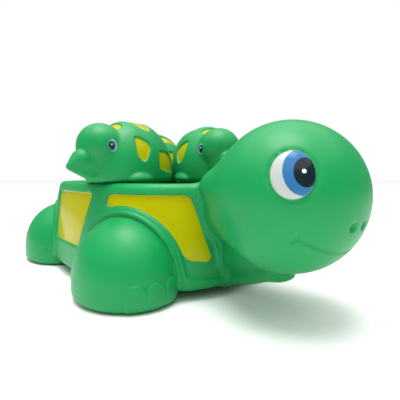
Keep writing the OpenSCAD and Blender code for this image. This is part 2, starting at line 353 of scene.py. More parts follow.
@dataclass
class Skin:
    """A hollow cast skin: blocked out from primitives, then drawn onto one smooth blended form."""

    name: str
    voxel: float
    turn_limit: float
    refine_rounds: int
    head_at: Place
    head_r: float
    eye_at: Corner
    eye_white: Corner
    eye_depth: float
    eye_spots: tuple[Spot, ...]
    probe: float = 0.04
    seam_w: float = 1e-4
    longest_step: float = 1.2
    least_slope: float = 0.05
    seam_room: float = 0.02
    shortest_edge: float = 0.3
    paint_band: float = 0.8
    sharp_edge: float = 50.0

    def block_out(self) -> list[bpy.types.Object]:
        """Primitives that stand near the form."""
        raise NotImplementedError

    def gap(self, x: Gap, y: Gap, z: Gap) -> Gap:
        """Gap to the finished form."""
        raise NotImplementedError

    def paints(self, x: Gap, y: Gap, z: Gap) -> dict[Paint, Gap]:
        """Gap to the edge of each painted area."""
        raise NotImplementedError

    def fine_lines(self, x: Gap, y: Gap, z: Gap) -> Gap:
        """Distance to the nearest line that needs a fine mesh."""
        return np.full(len(x), FAR)

    def head_ball(self, x: Gap, y: Gap, z: Gap) -> Gap:
        """Gap to the plain ball of the head."""
        return ellipsoid_gap(x - self.head_at[0], y, z - self.head_at[2], (self.head_r,) * 3)

    def eye_axes(self, x: Gap, y: Gap, z: Gap) -> tuple[Gap, Gap, Gap]:
        """Places around the eye: out of the head, towards the nose and up."""
        heading, rise = self.eye_at
        axes = (aim(heading, rise), aim(heading - 90, 0), aim(heading, rise + 90))
        offset = (x - self.head_at[0], y, z - self.head_at[2])
        return tuple(sum(o * a for o, a in zip(offset, axis)) for axis in axes)

    def eye_paints(self, x: Gap, y: Gap, z: Gap) -> dict[Paint, Gap]:
        """Gap to the edge of each painted area of an eye, for y positive."""
        out, nose, up = self.eye_axes(x, y, z)
        flat = np.zeros_like(x)
        white = ellipsoid_gap(nose, up, flat, (*self.eye_white, 1.0))
        white = np.maximum(white, self.head_r - self.eye_depth - out)
        result = {Paint.EYE_WHITE: white}
        for spot in self.eye_spots:
            oval = ellipsoid_gap(nose - spot.at[0], up - spot.at[1], flat, (*spot.half, 1.0))
            result[spot.paint] = np.maximum(oval, white)
        return result

    def slope(self, places: np.ndarray) -> tuple[Gap, np.ndarray]:
        """Gap and its slope at each place, from four probes around it."""
        gap = np.zeros(len(places))
        slope = np.zeros_like(places)
        for probe in ((1, -1, -1), (-1, -1, 1), (-1, 1, -1), (1, 1, 1)):
            near = self.gap(*(places + np.multiply(probe, self.probe)).T)
            gap += near / 4.0
            slope += near[:, None] * np.array(probe) / (4.0 * self.probe)
        return gap, slope

    def settle(self, obj: bpy.types.Object, rounds: int) -> np.ndarray:
        """Draw the vertices onto the form.

        Args:
            obj: Half of the skin, open at y = 0.
            rounds: How often each vertex is drawn nearer.

        Returns:
            The direction of the surface at each vertex.
        """
        places = Bench.points(obj.data)
        seam = np.abs(places[:, 1]) < self.seam_w
        for _ in range(rounds):
            gap, slope = self.slope(places)
            steep = np.maximum((slope**2).sum(axis=1), self.least_slope)
            step = np.clip(gap / steep, -self.longest_step, self.longest_step)
            places -= step[:, None] * slope
            places[:, 1] = np.where(seam, 0.0, np.maximum(places[:, 1], self.seam_room))
        Bench.put(obj.data, places)
        return slope / np.maximum(np.linalg.norm(slope, axis=1), 1e-6)[:, None]

    def refine(self, obj: bpy.types.Object, facing: np.ndarray) -> None:
        """Subdivide the faces where the form turns quickly or a painted edge passes.

        Args:
            obj: Half of the skin.
            facing: Direction of the surface at each vertex.
        """
        mesh = obj.data
        places = Bench.points(mesh)
        near_paint = self.fine_lines(*places.T)
        for gap in self.paints(*places.T).values():
            near_paint = np.minimum(near_paint, np.abs(gap))
        ends = np.empty(len(mesh.edges) * 2, int)
        mesh.edges.foreach_get("vertices", ends)
        ends = ends.reshape(-1, 2)
        length = np.linalg.norm(places[ends[:, 0]] - places[ends[:, 1]], axis=1)
        bend = (facing[ends[:, 0]] * facing[ends[:, 1]]).sum(axis=1)
        busy = bend < math.cos(math.radians(self.turn_limit))
        busy &= length > self.voxel * self.shortest_edge
        busy |= (near_paint[ends] < length[:, None] * self.paint_band).all(axis=1)
        marked = np.zeros(len(places), bool)
        marked[ends[busy].reshape(-1)] = True
        with Bench.editing(obj):
            Bench.pick(mesh, "FACE", lambda face: all(marked[v.index] for v in face.verts))
            bpy.ops.mesh.subdivide(number_cuts=1)

    def model(self) -> bpy.types.Object:
        """Block out, remesh, draw onto the form and mirror.

        Returns:
            The closed outside of the skin, in millimetres.
        """
        obj = Bench.join(self.block_out(), self.name)
        Bench.finish(obj, "REMESH", mode="VOXEL", voxel_size=self.voxel)
        with Bench.editing(obj):
            bpy.ops.mesh.bisect(plane_co=(0, 0, 0), plane_no=(0, 1, 0), clear_inner=True)
        places = Bench.points(obj.data)
        places[np.abs(places[:, 1]) < self.seam_w, 1] = 0.0
        Bench.put(obj.data, places)
        for _ in range(2):
            self.settle(obj, 3)
            self.relax(obj, 3)
        facing = self.settle(obj, 3)
        for _ in range(self.refine_rounds):
            self.refine(obj, facing)
            self.settle(obj, 2)
            self.relax(obj, 1)
            facing = self.settle(obj, 2)
        Bench.finish(obj, "MIRROR", use_axis=(False, True, False), merge_threshold=0.01)
        return obj

    def relax(self, obj: bpy.types.Object, repeat: int) -> None:
        """Even out the faces, keeping the seam in its plane."""
        seam = np.abs(Bench.points(obj.data)[:, 1]) < self.seam_w
        with Bench.editing(obj):
            bpy.ops.mesh.vertices_smooth(factor=0.5, repeat=repeat)
        places = Bench.points(obj.data)
        places[seam, 1] = 0.0
        Bench.put(obj.data, places)

    def bore(self, obj: bpy.types.Object, belly: float, scale: float) -> None:
        """Cut the squeaker's seat and its space into the belly.

        Args:
            obj: Closed skin.
            belly: Height of the belly.
            scale: Size of the squeaker against the mother's.
        """
        Bench.clear()
        bpy.ops.mesh.primitive_circle_add(vertices=len(SQUEAKER_SEAT), radius=1.0, fill_type="NOTHING")
        tool = bpy.context.object
        Bench.put(tool.data, np.array([(r * scale, 0.0, belly + z * scale) for r, z in SQUEAKER_SEAT]))
        with Bench.editing(tool):
            bpy.ops.mesh.select_mode(type="EDGE")
            bpy.ops.mesh.select_all(action="SELECT")
            bpy.ops.mesh.spin(steps=Bench.ROUND_SIDES, angle=math.tau, center=(0, 0, 0), axis=(0, 0, 1))
            bpy.ops.mesh.select_all(action="SELECT")
            bpy.ops.mesh.remove_doubles(threshold=0.001)
            bpy.ops.mesh.delete_loose(use_verts=True, use_edges=True, use_faces=False)
            bpy.ops.mesh.select_all(action="SELECT")
            bpy.ops.mesh.normals_make_consistent(inside=False)
        Bench.finish(obj, "BOOLEAN", object=tool, operation="DIFFERENCE", solver="EXACT")
        bpy.data.objects.remove(tool)

    def mark_paint(self, obj: bpy.types.Object) -> None:
        """Store the gap to each painted edge on the mesh."""
        for paint, gap in self.paints(*Bench.points(obj.data).T).items():
            layer = obj.data.attributes.new(paint.value, "FLOAT", "POINT")
            layer.data.foreach_set("value", gap.astype(np.float32))

    def smooth(self, obj: bpy.types.Object) -> None:
        """Shade smoothly, but keep the squeaker seat's edges."""
        Bench.only(obj)
        bpy.ops.object.shade_smooth_by_angle(angle=math.radians(self.sharp_edge))


@dataclass
class MotherSkin(Skin):
    """The mother: shell with a tray, four legs, tail, breast, neck and head."""

    name: str = "mother_skin"
    voxel: float = 1.6
    turn_limit: float = 13.0
    refine_rounds: int = 2
    middle_x: float = 23.25

    # Shell and tray
    shell_half: Corner = (66.0, 45.5)
    shell_square: float = 2.5
    shell_flare: float = 5.0
    flare_power: float = 1.6
    corner_bevel: float = 44.0
    bevel_steps: int = 16
    waist_h: float = 10.0
    belly_h: float = 1.5
    belly_round: float = 5.0
    belly_flat: float = 24.0
    belly_rise: float = 1.4
    belly_oval: float = 0.7
    belly_ease: float = 16.0
    rim_h: float = 44.0
    rim_w: float = 4.8
    rim_round: float = 2.3
    tray_floor: float = 31.0
    tray_round: float = 3.0

    # Pockets of the shell: outlines seen from the side, and at 45 degrees on a corner
    side_pocket: tuple[Corner, ...] = ((-23, 40), (23, 40), (16, 16), (-16, 16))
    corner_pocket: tuple[Corner, ...] = ((-4, 40), (30.5, 40), (39.5, 13.6), (20, 16.8), (-4, 28))
    corner_recess: tuple[Corner, ...] = (
        (-4, 40), (30.5, 40), (46.5, 8.6), (45.5, 7), (20, 9.4), (-4, 28),
    )
    pocket_round: float = 3.0
    pocket_land: float = 1.0
    pocket_depth: float = 1.0
    recess_round: float = 1.2
    recess_ease: float = 0.7
    ridge_w: float = 1.4
    paint_inset: float = 0.35
    paint_mid: float = 0.5
    paint_reach: float = 2.0

    # Legs, with an arch over each and toes in relief
    leg_at: Corner = (40.2, 33.8)
    leg_radii: Place = (22.8, 20.2, 23.8)
    leg_mid: float = 7.7
    sole_round: float = 4.0
    leg_fillet: float = 0.5
    arch_w: float = 2.6
    arch_rise: float = 1.0
    arch_round: float = 1.4
    crease_depth: float = 0.9
    crease_at: float = 0.3
    crease_w: float = 0.8
    crease_ends: Corner = (4.0, 3.0)
    toe_turns: tuple[float, float] = (1.0, -32.0)
    toe_spread: float = 21.0
    toe_half: float = 4.0
    toe_mid: float = 6.6
    toe_rise: float = 0.55
    toe_ease: float = 1.2
    toe_groove: float = 0.3
    groove_w: float = 0.55
    toe_core: float = 0.3

    # Neck, and the breast: a keel from the belly to a lip under the chin
    neck: Rod = Rod((57.0, 0.0, 32.0), 11.0, (80.0, 0.0, 37.5), 18.0)
    saddle_at: Place = (72.0, 0.0, 43.5)
    saddle_radii: Place = (14.5, 18.5, 8.5)
    keel_rear: Rod = Rod((62.5, 0.0, 6.5), 3.2, (75.0, 0.0, 9.2), 3.0)
    keel_front: Rod = Rod((75.0, 0.0, 9.2), 3.0, (88.5, 0.0, 14.0), 2.8)
    breast_rear: Rod = Rod((62.5, 0.0, 6.5), 3.2, (58.0, 0.0, 30.0), 10.0)
    breast_mid: Rod = Rod((62.0, 0.0, 15.0), 6.0, (83.0, 0.0, 22.0), 8.6)
    breast_front: Rod = Rod((85.5, 0.0, 14.8), 3.4, (80.0, 0.0, 36.0), 16.0)
    lip_at: Place = (87.5, 0.0, 13.8)
    lip_radii: Place = (6.6, 5.4, 2.9)
    lip_fillet: float = 2.0
    breast_fillet: float = 3.0
    throat_fillet: float = 4.0
    tail: Rod = Rod((-57.0, 0.0, 12.0), 7.0, (-67.0, 0.0, 9.0), 3.0)
    tail_fillet: float = 3.0

    # Fillets that widen with height: width, then what is added, from which height and over how much
    neck_fillet: float = 1.2
    neck_fillet_high: Place = (3.8, 36.0, 12.0)
    neck_fillet_low: Place = (2.4, 8.0, 6.0)
    head_fillet: float = 2.0
    head_fillet_high: Place = (5.0, 24.0, 14.0)

    # Head, with angles in degrees from its middle
    head_at: Place = (91.5, 0.0, 40.0)
    head_r: float = 25.0
    eye_at: Corner = (51.0, 17.8)
    eye_sink: float = 1.2
    eye_radii: Place = (2.2, 5.9, 6.8)
    eye_fillet: float = 0.25
    socket_sink: float = 0.7
    socket_radii: Place = (1.3, 7.0, 7.8)
    socket_fillet: float = 0.7
    eye_white: Corner = (5.8, 6.7)
    eye_depth: float = 4.0
    eye_spots: tuple[Spot, ...] = (
        Spot(Paint.IRIS, (2.4, 0.6), (5.1, 6.5)),
        Spot(Paint.PUPIL, (3.3, 0.3), (3.2, 4.1)),
        Spot(Paint.GLINT, (2.8, 0.4), (0.6, 0.6)),
    )
    nostril_at: Corner = (7.0, -16.5)
    nostril_r: float = 1.35
    nostril_out: float = 0.2
    nostril_run: float = 0.01
    nostril_fillet: float = 0.9
    smile_reach: float = 47.0
    smile_low: float = -37.0
    smile_rise: float = 14.0
    smile_steps: int = 8
    smile_cheek: tuple[Corner, Corner] = ((50.0, -26.0), (46.5, -21.5))
    smile_out: float = 0.1
    smile_r: float = 0.55
    smile_fillet: float = 0.3

    def block_out(self) -> list[bpy.types.Object]:
        """Box shell with an inset tray, cut balls for legs, and balls and cones for the rest."""
        length, width = 2 * self.shell_half[0], 2 * self.shell_half[1]
        middle = (self.rim_h + self.belly_h) / 2
        shell = Bench.block(Primitive.BOX, (0, 0, middle), (length, width, self.rim_h - self.belly_h))
        with Bench.editing(shell) as mesh:
            Bench.pick(mesh, "EDGE", lambda edge: abs(edge.verts[0].co.z - edge.verts[1].co.z) > 1)
            bpy.ops.mesh.bevel(offset=self.corner_bevel, segments=self.bevel_steps, affect="EDGES")
            Bench.pick(mesh, "FACE", lambda face: face.normal.z > 0.9)
            top = [1.0 - self.shell_flare / half for half in self.shell_half]
            bpy.ops.transform.resize(value=(*top, 1.0))
            bpy.ops.mesh.inset(thickness=self.rim_w)
            drop = (0, 0, self.tray_floor - self.rim_h)
            bpy.ops.mesh.extrude_region_move(TRANSFORM_OT_translate={"value": drop})
        parts = [shell]
        for along in (1, -1):
            for across in (1, -1):
                at = (along * self.leg_at[0], across * self.leg_at[1], self.leg_mid)
                parts.append(Bench.cut_below(Bench.ball(at, self.leg_radii), 0.01))
        parts.append(Bench.ball(self.head_at, (self.head_r,) * 3))
        parts.append(Bench.ball(self.neck.end, (self.neck.end_r,) * 3))
        parts.append(Bench.ball(self.saddle_at, self.saddle_radii))
        parts.append(Bench.block(Primitive.CONE, (-62, 0, 10.5), (12, 12, 15), -100))
        breast = Bench.block(Primitive.BOX, (73, 0, 16), (28, 16, 20))
        with Bench.editing(breast) as mesh:
            Bench.pick(mesh, "FACE", lambda face: face.normal.z < -0.9)
            bpy.ops.transform.resize(value=(1.0, 0.6, 1.0))
        parts.append(breast)
        parts.append(Bench.ball(self.lip_at, self.lip_radii))
        return parts

    def _side(self, x: Gap, y: Gap, z: Gap) -> Gap:
        """Gap to the shell's side, drawn in towards the rim."""
        rise = np.clip((z - self.waist_h) / (self.rim_h - self.waist_h), 0.0, 1.3)
        inset = self.shell_flare * rise**self.flare_power
        half = (self.shell_half[0] - inset, self.shell_half[1] - inset)
        return oval_gap(x, y, half, self.shell_square)

    def _tray(self, x: Gap, y: Gap, z: Gap) -> Gap:
        """Gap to the space of the tray."""
        half = tuple(h - self.shell_flare - self.rim_w for h in self.shell_half)
        space = oval_gap(x, y, half, self.shell_square)
        return round_meet(space, self.tray_floor - z, self.tray_round)

    def _leg(self, x: Gap, y: Gap, z: Gap) -> Gap:
        """Gap to the dome of the nearest leg, without its sole."""
        up = np.maximum(z - self.leg_mid, 0.0)
        return ellipsoid_gap(x - self.leg_at[0], y - self.leg_at[1], up, self.leg_radii)

    def _pockets(self, x: Gap, y: Gap, z: Gap, corner: Sequence[Corner]) -> Gap:
        """Gap to the pockets on the side and on each corner.

        Args:
            x, y, z: Coordinates, the first two positive.
            corner: Outline of the corner pocket, seen at 45 degrees.

        Returns:
            The gap at each point.
        """
        side = outline_gap(x, z, self.side_pocket, self.pocket_round)
        bent = outline_gap((x - y) / math.sqrt(2.0), z, corner, self.pocket_round)
        land = self.arch_w + self.pocket_land - self._leg(x, y, z)
        return np.minimum(side, round_meet(bent, land, self.pocket_round))

    def _toes(self, x: Gap, y: Gap, z: Gap) -> Gap:
        """Gap to the arched outline of the nearest toe, along the face of a leg."""
        best = np.full(len(x), FAR)
        arch = np.maximum(z - self.toe_mid, 0.0)
        for end, turn in zip((1, -1), self.toe_turns):
            dx = (x - end * self.leg_at[0]) / self.leg_radii[0]
            dy = (self.leg_at[1] - y) / self.leg_radii[1]
            reach = np.maximum(np.hypot(dx, dy), self.toe_core)
            for side in (-1, 0, 1):
                at = math.radians(turn + side * self.toe_spread)
                across = (dy * math.cos(at) - dx * math.sin(at)) / reach * self.leg_radii[1]
                ahead = (dx * math.cos(at) + dy * math.sin(at) > 0.0) & (x * end > 0.0)
                toe = np.hypot(across, arch) - self.toe_half
                best = np.minimum(best, np.where(ahead, toe, FAR))
        return best

    def _head(self, x: Gap, y: Gap, z: Gap) -> Gap:
        """Gap to the head with its eyes, nostrils and smile."""
        out, nose, up = self.eye_axes(x, y, z)
        socket = ellipsoid_gap(out - self.head_r + self.socket_sink, nose, up, self.socket_radii)
        head = soft_cut(self.head_ball(x, y, z), socket, self.socket_fillet)
        ball = ellipsoid_gap(out - self.head_r + self.eye_sink, nose, up, self.eye_radii)
        head = soft_join(head, ball, self.eye_fillet)
        hole = np.array(self.head_at) + aim(*self.nostril_at) * (self.head_r + self.nostril_out)
        nostril = Rod(tuple(hole), self.nostril_r, tuple(hole + self.nostril_run), self.nostril_r)
        head = soft_cut(head, nostril.gap(x, y, z), self.nostril_fillet)
        return soft_cut(head, self._smile(x, y, z) - self.smile_r, self.smile_fillet)

    def _smile(self, x: Gap, y: Gap, z: Gap) -> Gap:
        """Distance to the line of the smile and its cheek strokes."""
        shares = [step / self.smile_steps for step in range(self.smile_steps + 1)]
        turns = [(self.smile_reach * s, self.smile_low + self.smile_rise * s * s) for s in shares]
        strokes = [*zip(turns, turns[1:]), self.smile_cheek]
        middle, reach = np.array(self.head_at), self.head_r + self.smile_out
        ends = [[tuple(middle + aim(*turn) * reach) for turn in stroke] for stroke in strokes]
        return np.minimum.reduce([Rod(start, 0.0, end, 0.0).gap(x, y, z) for start, end in ends])

    def fine_lines(self, x: Gap, y: Gap, z: Gap) -> Gap:
        """Distance to the smile and to the outlines of the toes and shell recesses."""
        near_leg, near_side, smile_band = 1.0, 1.5, 0.6
        ax, ay = np.abs(x), np.abs(y)
        toes = np.where(self._leg(ax, ay, z) < near_leg, np.abs(self._toes(x, ay, z)), FAR)
        recess = self._pockets(ax, ay, z, self.corner_recess)
        recess = np.maximum(recess, self.ridge_w - self._breast(x, ay, z))
        recess = np.where(np.abs(self._side(ax, ay, z)) < near_side, np.abs(recess), FAR)
        smile = np.maximum(self._smile(x, ay, z) - smile_band, 0.0)
        return np.minimum(smile, np.minimum(toes, recess))

    def _breast(self, x: Gap, y: Gap, z: Gap) -> Gap:
        """Gap to the neck, its saddle and the breast."""
        place, width = (x, y, z), self.breast_fillet
        keel = np.minimum(self.keel_rear.gap(*place), self.keel_front.gap(*place))
        rear = soft_join(keel, self.breast_rear.gap(*place), width)
        front = soft_join(self.breast_front.gap(*place), self.breast_mid.gap(*place), width)
        lip = ellipsoid_gap(x - self.lip_at[0], y, z - self.lip_at[2], self.lip_radii)
        breast = soft_join(soft_join(rear, front, width), lip, self.lip_fillet)
        saddle = ellipsoid_gap(x - self.saddle_at[0], y, z - self.saddle_at[2], self.saddle_radii)
        neck = soft_join(self.neck.gap(*place), saddle, width)
        return soft_join(breast, neck, self.throat_fillet)

    def _shell(self, x: Gap, ay: Gap, z: Gap, leg: Gap) -> Gap:
        """Gap to the shell with its pockets and arches, the neck and the breast.

        Args:
            x, ay, z: Coordinates, the second one positive.
            leg: Gap to the nearest leg.

        Returns:
            The gap at each point.
        """
        ax = np.abs(x)
        side = self._side(ax, ay, z)
        wall = round_meet(side, z - self.rim_h, self.rim_round)
        edge = ease(self.belly_flat - np.hypot(ax * self.belly_oval, ay), self.belly_ease)
        under = self.belly_h + self.belly_rise * edge - z
        neck = self._breast(x, ay, z)
        recess = self._pockets(ax, ay, z, self.corner_recess)
        recess = round_meet(recess, self.ridge_w - neck, self.recess_round)
        shell = round_meet(wall, under, self.belly_round)
        shell = shell + self.pocket_depth * ease(recess, self.recess_ease)
        more, height, over = self.neck_fillet_high
        less, low, reach = self.neck_fillet_low
        fillet = self.neck_fillet + more * ease(height - z, over) + less * ease(z - low, reach)
        body = soft_join(shell, neck, fillet)
        arch = round_meet(wall - self.arch_rise, leg - self.arch_w, self.arch_round)
        body = soft_join(body, round_meet(arch, under, self.belly_round), self.leg_fillet)
        start, fade = self.crease_ends
        crease = np.exp(-(((leg - self.crease_at) / self.crease_w) ** 2)) * ease(-side - start, fade)
        return body + self.crease_depth * crease

    def gap(self, x: Gap, y: Gap, z: Gap) -> Gap:
        """Gap to the whole outside of the mother."""
        ax, ay = np.abs(x), np.abs(y)
        leg = self._leg(ax, ay, z)
        body = soft_join(self._shell(x, ay, z, leg), self.tail.gap(x, y, z), self.tail_fillet)
        toes = self._toes(x, ay, z)
        groove = self.toe_groove * np.exp(-((toes / self.groove_w) ** 2))
        foot = leg + groove - self.toe_rise * ease(toes, self.toe_ease)
        body = soft_join(body, round_meet(foot, -z, self.sole_round), self.leg_fillet)
        more, height, over = self.head_fillet_high
        fillet = self.head_fillet + more * ease(height - z, over)
        body = soft_join(body, self._head(x, ay, z), fillet)
        return np.maximum(round_meet(body, -self._tray(ax, ay, z), self.rim_round), -z)

    def paints(self, x: Gap, y: Gap, z: Gap) -> dict[Paint, Gap]:
        """Yellow pockets, and the white, iris, pupil and glint of the eyes."""
        ax, ay = np.abs(x), np.abs(y)
        pocket = self._pockets(ax, ay, z, self.corner_pocket)
        pocket = np.maximum(pocket, self.ridge_w - self._breast(x, ay, z)) + self.paint_inset
        layer = np.abs(self._side(ax, ay, z) + self.paint_mid) - self.paint_reach
        return {Paint.POCKET: np.maximum(pocket, layer)} | self.eye_paints(x, ay, z)

    def make(self) -> bpy.types.Object:
        """Model the skin, cut the squeaker seat and bring it into the frame."""
        obj = self.model()
        self.bore(obj, self.belly_h, 1.0)
        self.mark_paint(obj)
        obj.data.transform(Matrix.Scale(MM, 4) @ Matrix.Translation((-self.middle_x, 0, 0)))
        self.smooth(obj)
        return obj


@dataclass
class Seat:
    """Place of a baby on the tray floor, in the mother's own millimetres."""

    body: str
    at: Corner
    heading: float


@dataclass
class BabySkin(Skin):
    """A baby: domed shell, trunk, four feet, tail, and a head with a pointed snout."""

    name: str = "baby_skin"
    voxel: float = 0.85
    turn_limit: float = 14.0
    refine_rounds: int = 2
    floor_h: float = 31.05
    squeaker_scale: float = 0.66

    # Shell, with pockets outlined by heading and height angle from its middle
    shell_radii: Place = (21.0, 17.0, 22.0)
    shell_mid: float = 18.5
    shell_edge: float = 13.4
    shell_round: float = 1.8
    shell_fillet: float = 0.8
    spine_pockets: tuple[tuple[Corner, ...], ...] = (
        ((-34, 62), (-30, 50), (30, 50), (34, 62)),
        ((48, 70), (84, 57), (98, 56), (120, 63), (-120, 63), (-98, 56), (-84, 57), (-48, 70)),
        ((138, 56), (140, 36), (-140, 36), (-138, 56)),
        ((152, 22), (158, -4), (-158, -4), (-152, 22)),
    )
    side_pockets: tuple[tuple[Corner, ...], ...] = (
        ((56, 46), (60, 18), (70, 9), (80, 20), (85, 36)),
        ((100, 27), (97, 3), (107, -2), (120, -4), (138, -5), (138, 18)),
    )
    pocket_round: float = 2.0
    pocket_depth: float = 0.7
    pocket_ease: float = 0.9
    roll_mm: float = 0.34
    paint_inset: float = 0.2
    paint_mid: float = 0.4
    paint_reach: float = 1.3

    # Trunk, feet, thighs and tail
    belly: float = 3.0
    belly_round: float = 3.0
    trunk_radii: Place = (12.5, 12.0, 14.0)
    trunk_mid: float = 11.0
    feet_at: tuple[Corner, Corner] = ((5.0, 9.2), (-8.5, 8.0))
    foot_radii: Place = (4.6, 4.6, 10.0)
    foot_mid: float = 5.0
    sole_round: float = 1.4
    foot_fillet: float = 1.0
    thigh_at: Place = (6.0, 12.8, 13.0)
    thigh_radii: Place = (7.0, 5.6, 5.4)
    thigh_fillet: float = 0.6
    tail: Rod = Rod((-10.5, 0.0, 11.0), 4.0, (-19.4, 0.0, 9.5), 1.8)
    tail_fillet: float = 2.0

    # Head
    head_at: Place = (15.8, 0.0, 27.9)
    head_r: float = 9.8
    head_fillet: float = 0.9
    neck: Rod = Rod((6.0, 0.0, 21.0), 10.0, (15.8, 0.0, 25.9), 8.5)
    neck_fillet: float = 1.5
    jaw: Rod = Rod((17.6, 0.0, 20.6), 7.5, (29.8, 0.0, 19.5), 1.5, tight=True)
    snout: Rod = Rod((24.3, 0.0, 21.9), 4.7, (29.8, 0.0, 19.5), 1.5, tight=True)
    snout_fillet: float = 1.4
    eye_at: Corner = (84.0, 0.0)
    eye_sink: float = 0.6
    eye_radii: Place = (1.0, 1.9, 2.4)
    eye_fillet: float = 0.3
    eye_white: Corner = (1.8, 2.3)
    eye_depth: float = 2.5
    eye_spots: tuple[Spot, ...] = (
        Spot(Paint.IRIS, (0.35, 0.0), (1.5, 2.1)),
        Spot(Paint.PUPIL, (0.75, 0.0), (1.05, 1.55)),
        Spot(Paint.GLINT, (0.65, 0.45), (0.32, 0.32)),
    )

    def block_out(self) -> list[bpy.types.Object]:
        """Cut balls for the shell, trunk, feet and thighs, and balls and a cone for the rest."""
        parts = [
            Bench.cut_below(Bench.ball((0, 0, self.shell_mid), self.shell_radii), self.shell_edge),
            Bench.cut_below(Bench.ball((0, 0, 12), (12.5, 12, 12)), self.belly),
        ]
        for along, out in self.feet_at:
            for across in (1, -1):
                foot = Bench.ball((along, across * out, self.foot_mid), self.foot_radii)
                parts.append(Bench.cut_below(foot, 0.01))
        tx, ty, tz = self.thigh_at
        for across in (1, -1):
            thigh = Bench.ball((tx, across * ty, tz), self.thigh_radii)
            parts.append(Bench.cut_below(thigh, self.shell_edge))
        parts.append(Bench.ball(self.head_at, (self.head_r,) * 3))
        parts.append(Bench.ball(self.jaw.start, (self.jaw.start_r,) * 3))
        parts.append(Bench.ball(self.snout.start, (self.snout.start_r,) * 3))
        parts.append(Bench.ball((26.0, 0.0, 20.4), (4.0, 3.2, 3.2)))
        parts.append(Bench.ball(self.snout.end, (self.snout.end_r,) * 3))
        parts.append(Bench.ball((8, 0, 21.5), (9.5, 9, 9.5)))
        parts.append(Bench.block(Primitive.CONE, (-14.8, 0, 10.4), (6.6, 6.6, 11), -100))
        return parts

    def _flat(self, heading: Gap, rise: Gap) -> tuple[Gap, Gap]:
        """Shell rolled out around its top: millimetres forward and to the left."""
        reach = (90.0 - rise) * self.roll_mm
        return reach * np.cos(np.radians(heading)), reach * np.sin(np.radians(heading))

    def _pockets(self, x: Gap, y: Gap, z: Gap) -> Gap:
        """Gap to the nearest pocket of the shell, for y positive."""
        rise = np.degrees(np.arctan2(z - self.shell_mid, np.hypot(x, y)))
        u, v = self._flat(np.degrees(np.arctan2(y, x)), rise)
        best = np.full(len(x), FAR)
        for corners in self.spine_pockets + self.side_pockets:
            rolled = [self._flat(np.float64(h), np.float64(r)) for h, r in corners]
            turn = sum(p[0] * q[1] - q[0] * p[1] for p, q in zip(rolled, [*rolled[1:], rolled[0]]))
            clockwise = rolled if turn < 0 else rolled[::-1]
            best = np.minimum(best, outline_gap(u, v, clockwise, self.pocket_round))
        return best

    def _dome(self, x: Gap, y: Gap, z: Gap) -> Gap:
        """Gap to the shell's dome, without its lower edge."""
        return ellipsoid_gap(x, y, np.maximum(z - self.shell_mid, 0.0), self.shell_radii)

    def _shell(self, x: Gap, y: Gap, z: Gap) -> Gap:
        """Gap to the shell with its pockets and the thighs under its edge, for y positive."""
        dome = self._dome(x, y, z)
        dome = dome + self.pocket_depth * ease(self._pockets(x, y, z), self.pocket_ease)
        tx, ty, tz = self.thigh_at
        thigh = ellipsoid_gap(x - tx, y - ty, np.maximum(z - tz, 0.0), self.thigh_radii)
        dome = soft_join(dome, thigh, self.thigh_fillet)
        return round_meet(dome, self.shell_edge - z, self.shell_round)

    def _head(self, x: Gap, y: Gap, z: Gap) -> Gap:
        """Gap to the head with its snout, neck and eye, for y positive."""
        snout = np.minimum(self.jaw.gap(x, y, z), self.snout.gap(x, y, z))
        head = soft_join(self.head_ball(x, y, z), snout, self.snout_fillet)
        head = soft_join(head, self.neck.gap(x, y, z), self.neck_fillet)
        out, nose, rise = self.eye_axes(x, y, z)
        eye = ellipsoid_gap(out - self.head_r + self.eye_sink, nose, rise, self.eye_radii)
        return soft_join(head, eye, self.eye_fillet)

    def gap(self, x: Gap, y: Gap, z: Gap) -> Gap:
        """Gap to the whole outside of a baby."""
        ay = np.abs(y)
        trunk = ellipsoid_gap(x, ay, np.maximum(z - self.trunk_mid, 0.0), self.trunk_radii)
        body = round_meet(trunk, self.belly - z, self.belly_round)
        for along, out in self.feet_at:
            up = np.maximum(z - self.foot_mid, 0.0)
            foot = ellipsoid_gap(x - along, ay - out, up, self.foot_radii)
            body = soft_join(body, round_meet(foot, -z, self.sole_round), self.foot_fillet)
        body = soft_join(body, self.tail.gap(x, y, z), self.tail_fillet)
        body = soft_join(body, self._shell(x, ay, z), self.shell_fillet)
        return soft_join(body, self._head(x, ay, z), self.head_fillet)

    def paints(self, x: Gap, y: Gap, z: Gap) -> dict[Paint, Gap]:
        """Yellow pockets, and the white, iris, pupil and glint of the eyes."""
        ay = np.abs(y)
        pocket = self._pockets(x, ay, z) + self.paint_inset
        layer = np.abs(self._dome(x, ay, z) + self.paint_mid) - self.paint_reach
        return {Paint.POCKET: np.maximum(pocket, layer)} | self.eye_paints(x, ay, z)

    def make(self, mother: MotherSkin, seats: Sequence[Seat]) -> list[bpy.types.Object]:
        """Model one baby and set a copy of it on each seat.

        Args:
            mother: The skin that carries them.
            seats: Where they sit.

        Returns:
            One object per seat, each with its own mesh.
        """
        first = self.model()
        self.bore(first, self.belly, self.squeaker_scale)
        self.mark_paint(first)
        self.smooth(first)
        babies = [first]
        for _ in seats[1:]:
            Bench.only(first)
            bpy.ops.object.duplicate(linked=False)
            babies.append(bpy.context.object)
        for baby, seat in zip(babies, seats):
            baby.name = baby.data.name = seat.body + "_skin"
            place = Matrix.Translation((seat.at[0] - mother.middle_x, seat.at[1], self.floor_h))
            turn = Matrix.Rotation(math.radians(seat.heading), 4, "Z")
            baby.data.transform(Matrix.Scale(MM, 4) @ place @ turn)
        return babies


def linear(hex_colour: str) -> tuple[float, float, float, float]:
    """Linear colour of an sRGB hex value such as #2fa860."""
    steps = [int(hex_colour[i : i + 2], 16) / 255 for i in (1, 3, 5)]
    r, g, b = (s / 12.92 if s <= 0.04045 else ((s + 0.055) / 1.055) ** 2.4 for s in steps)
    return (r, g, b, 1.0)


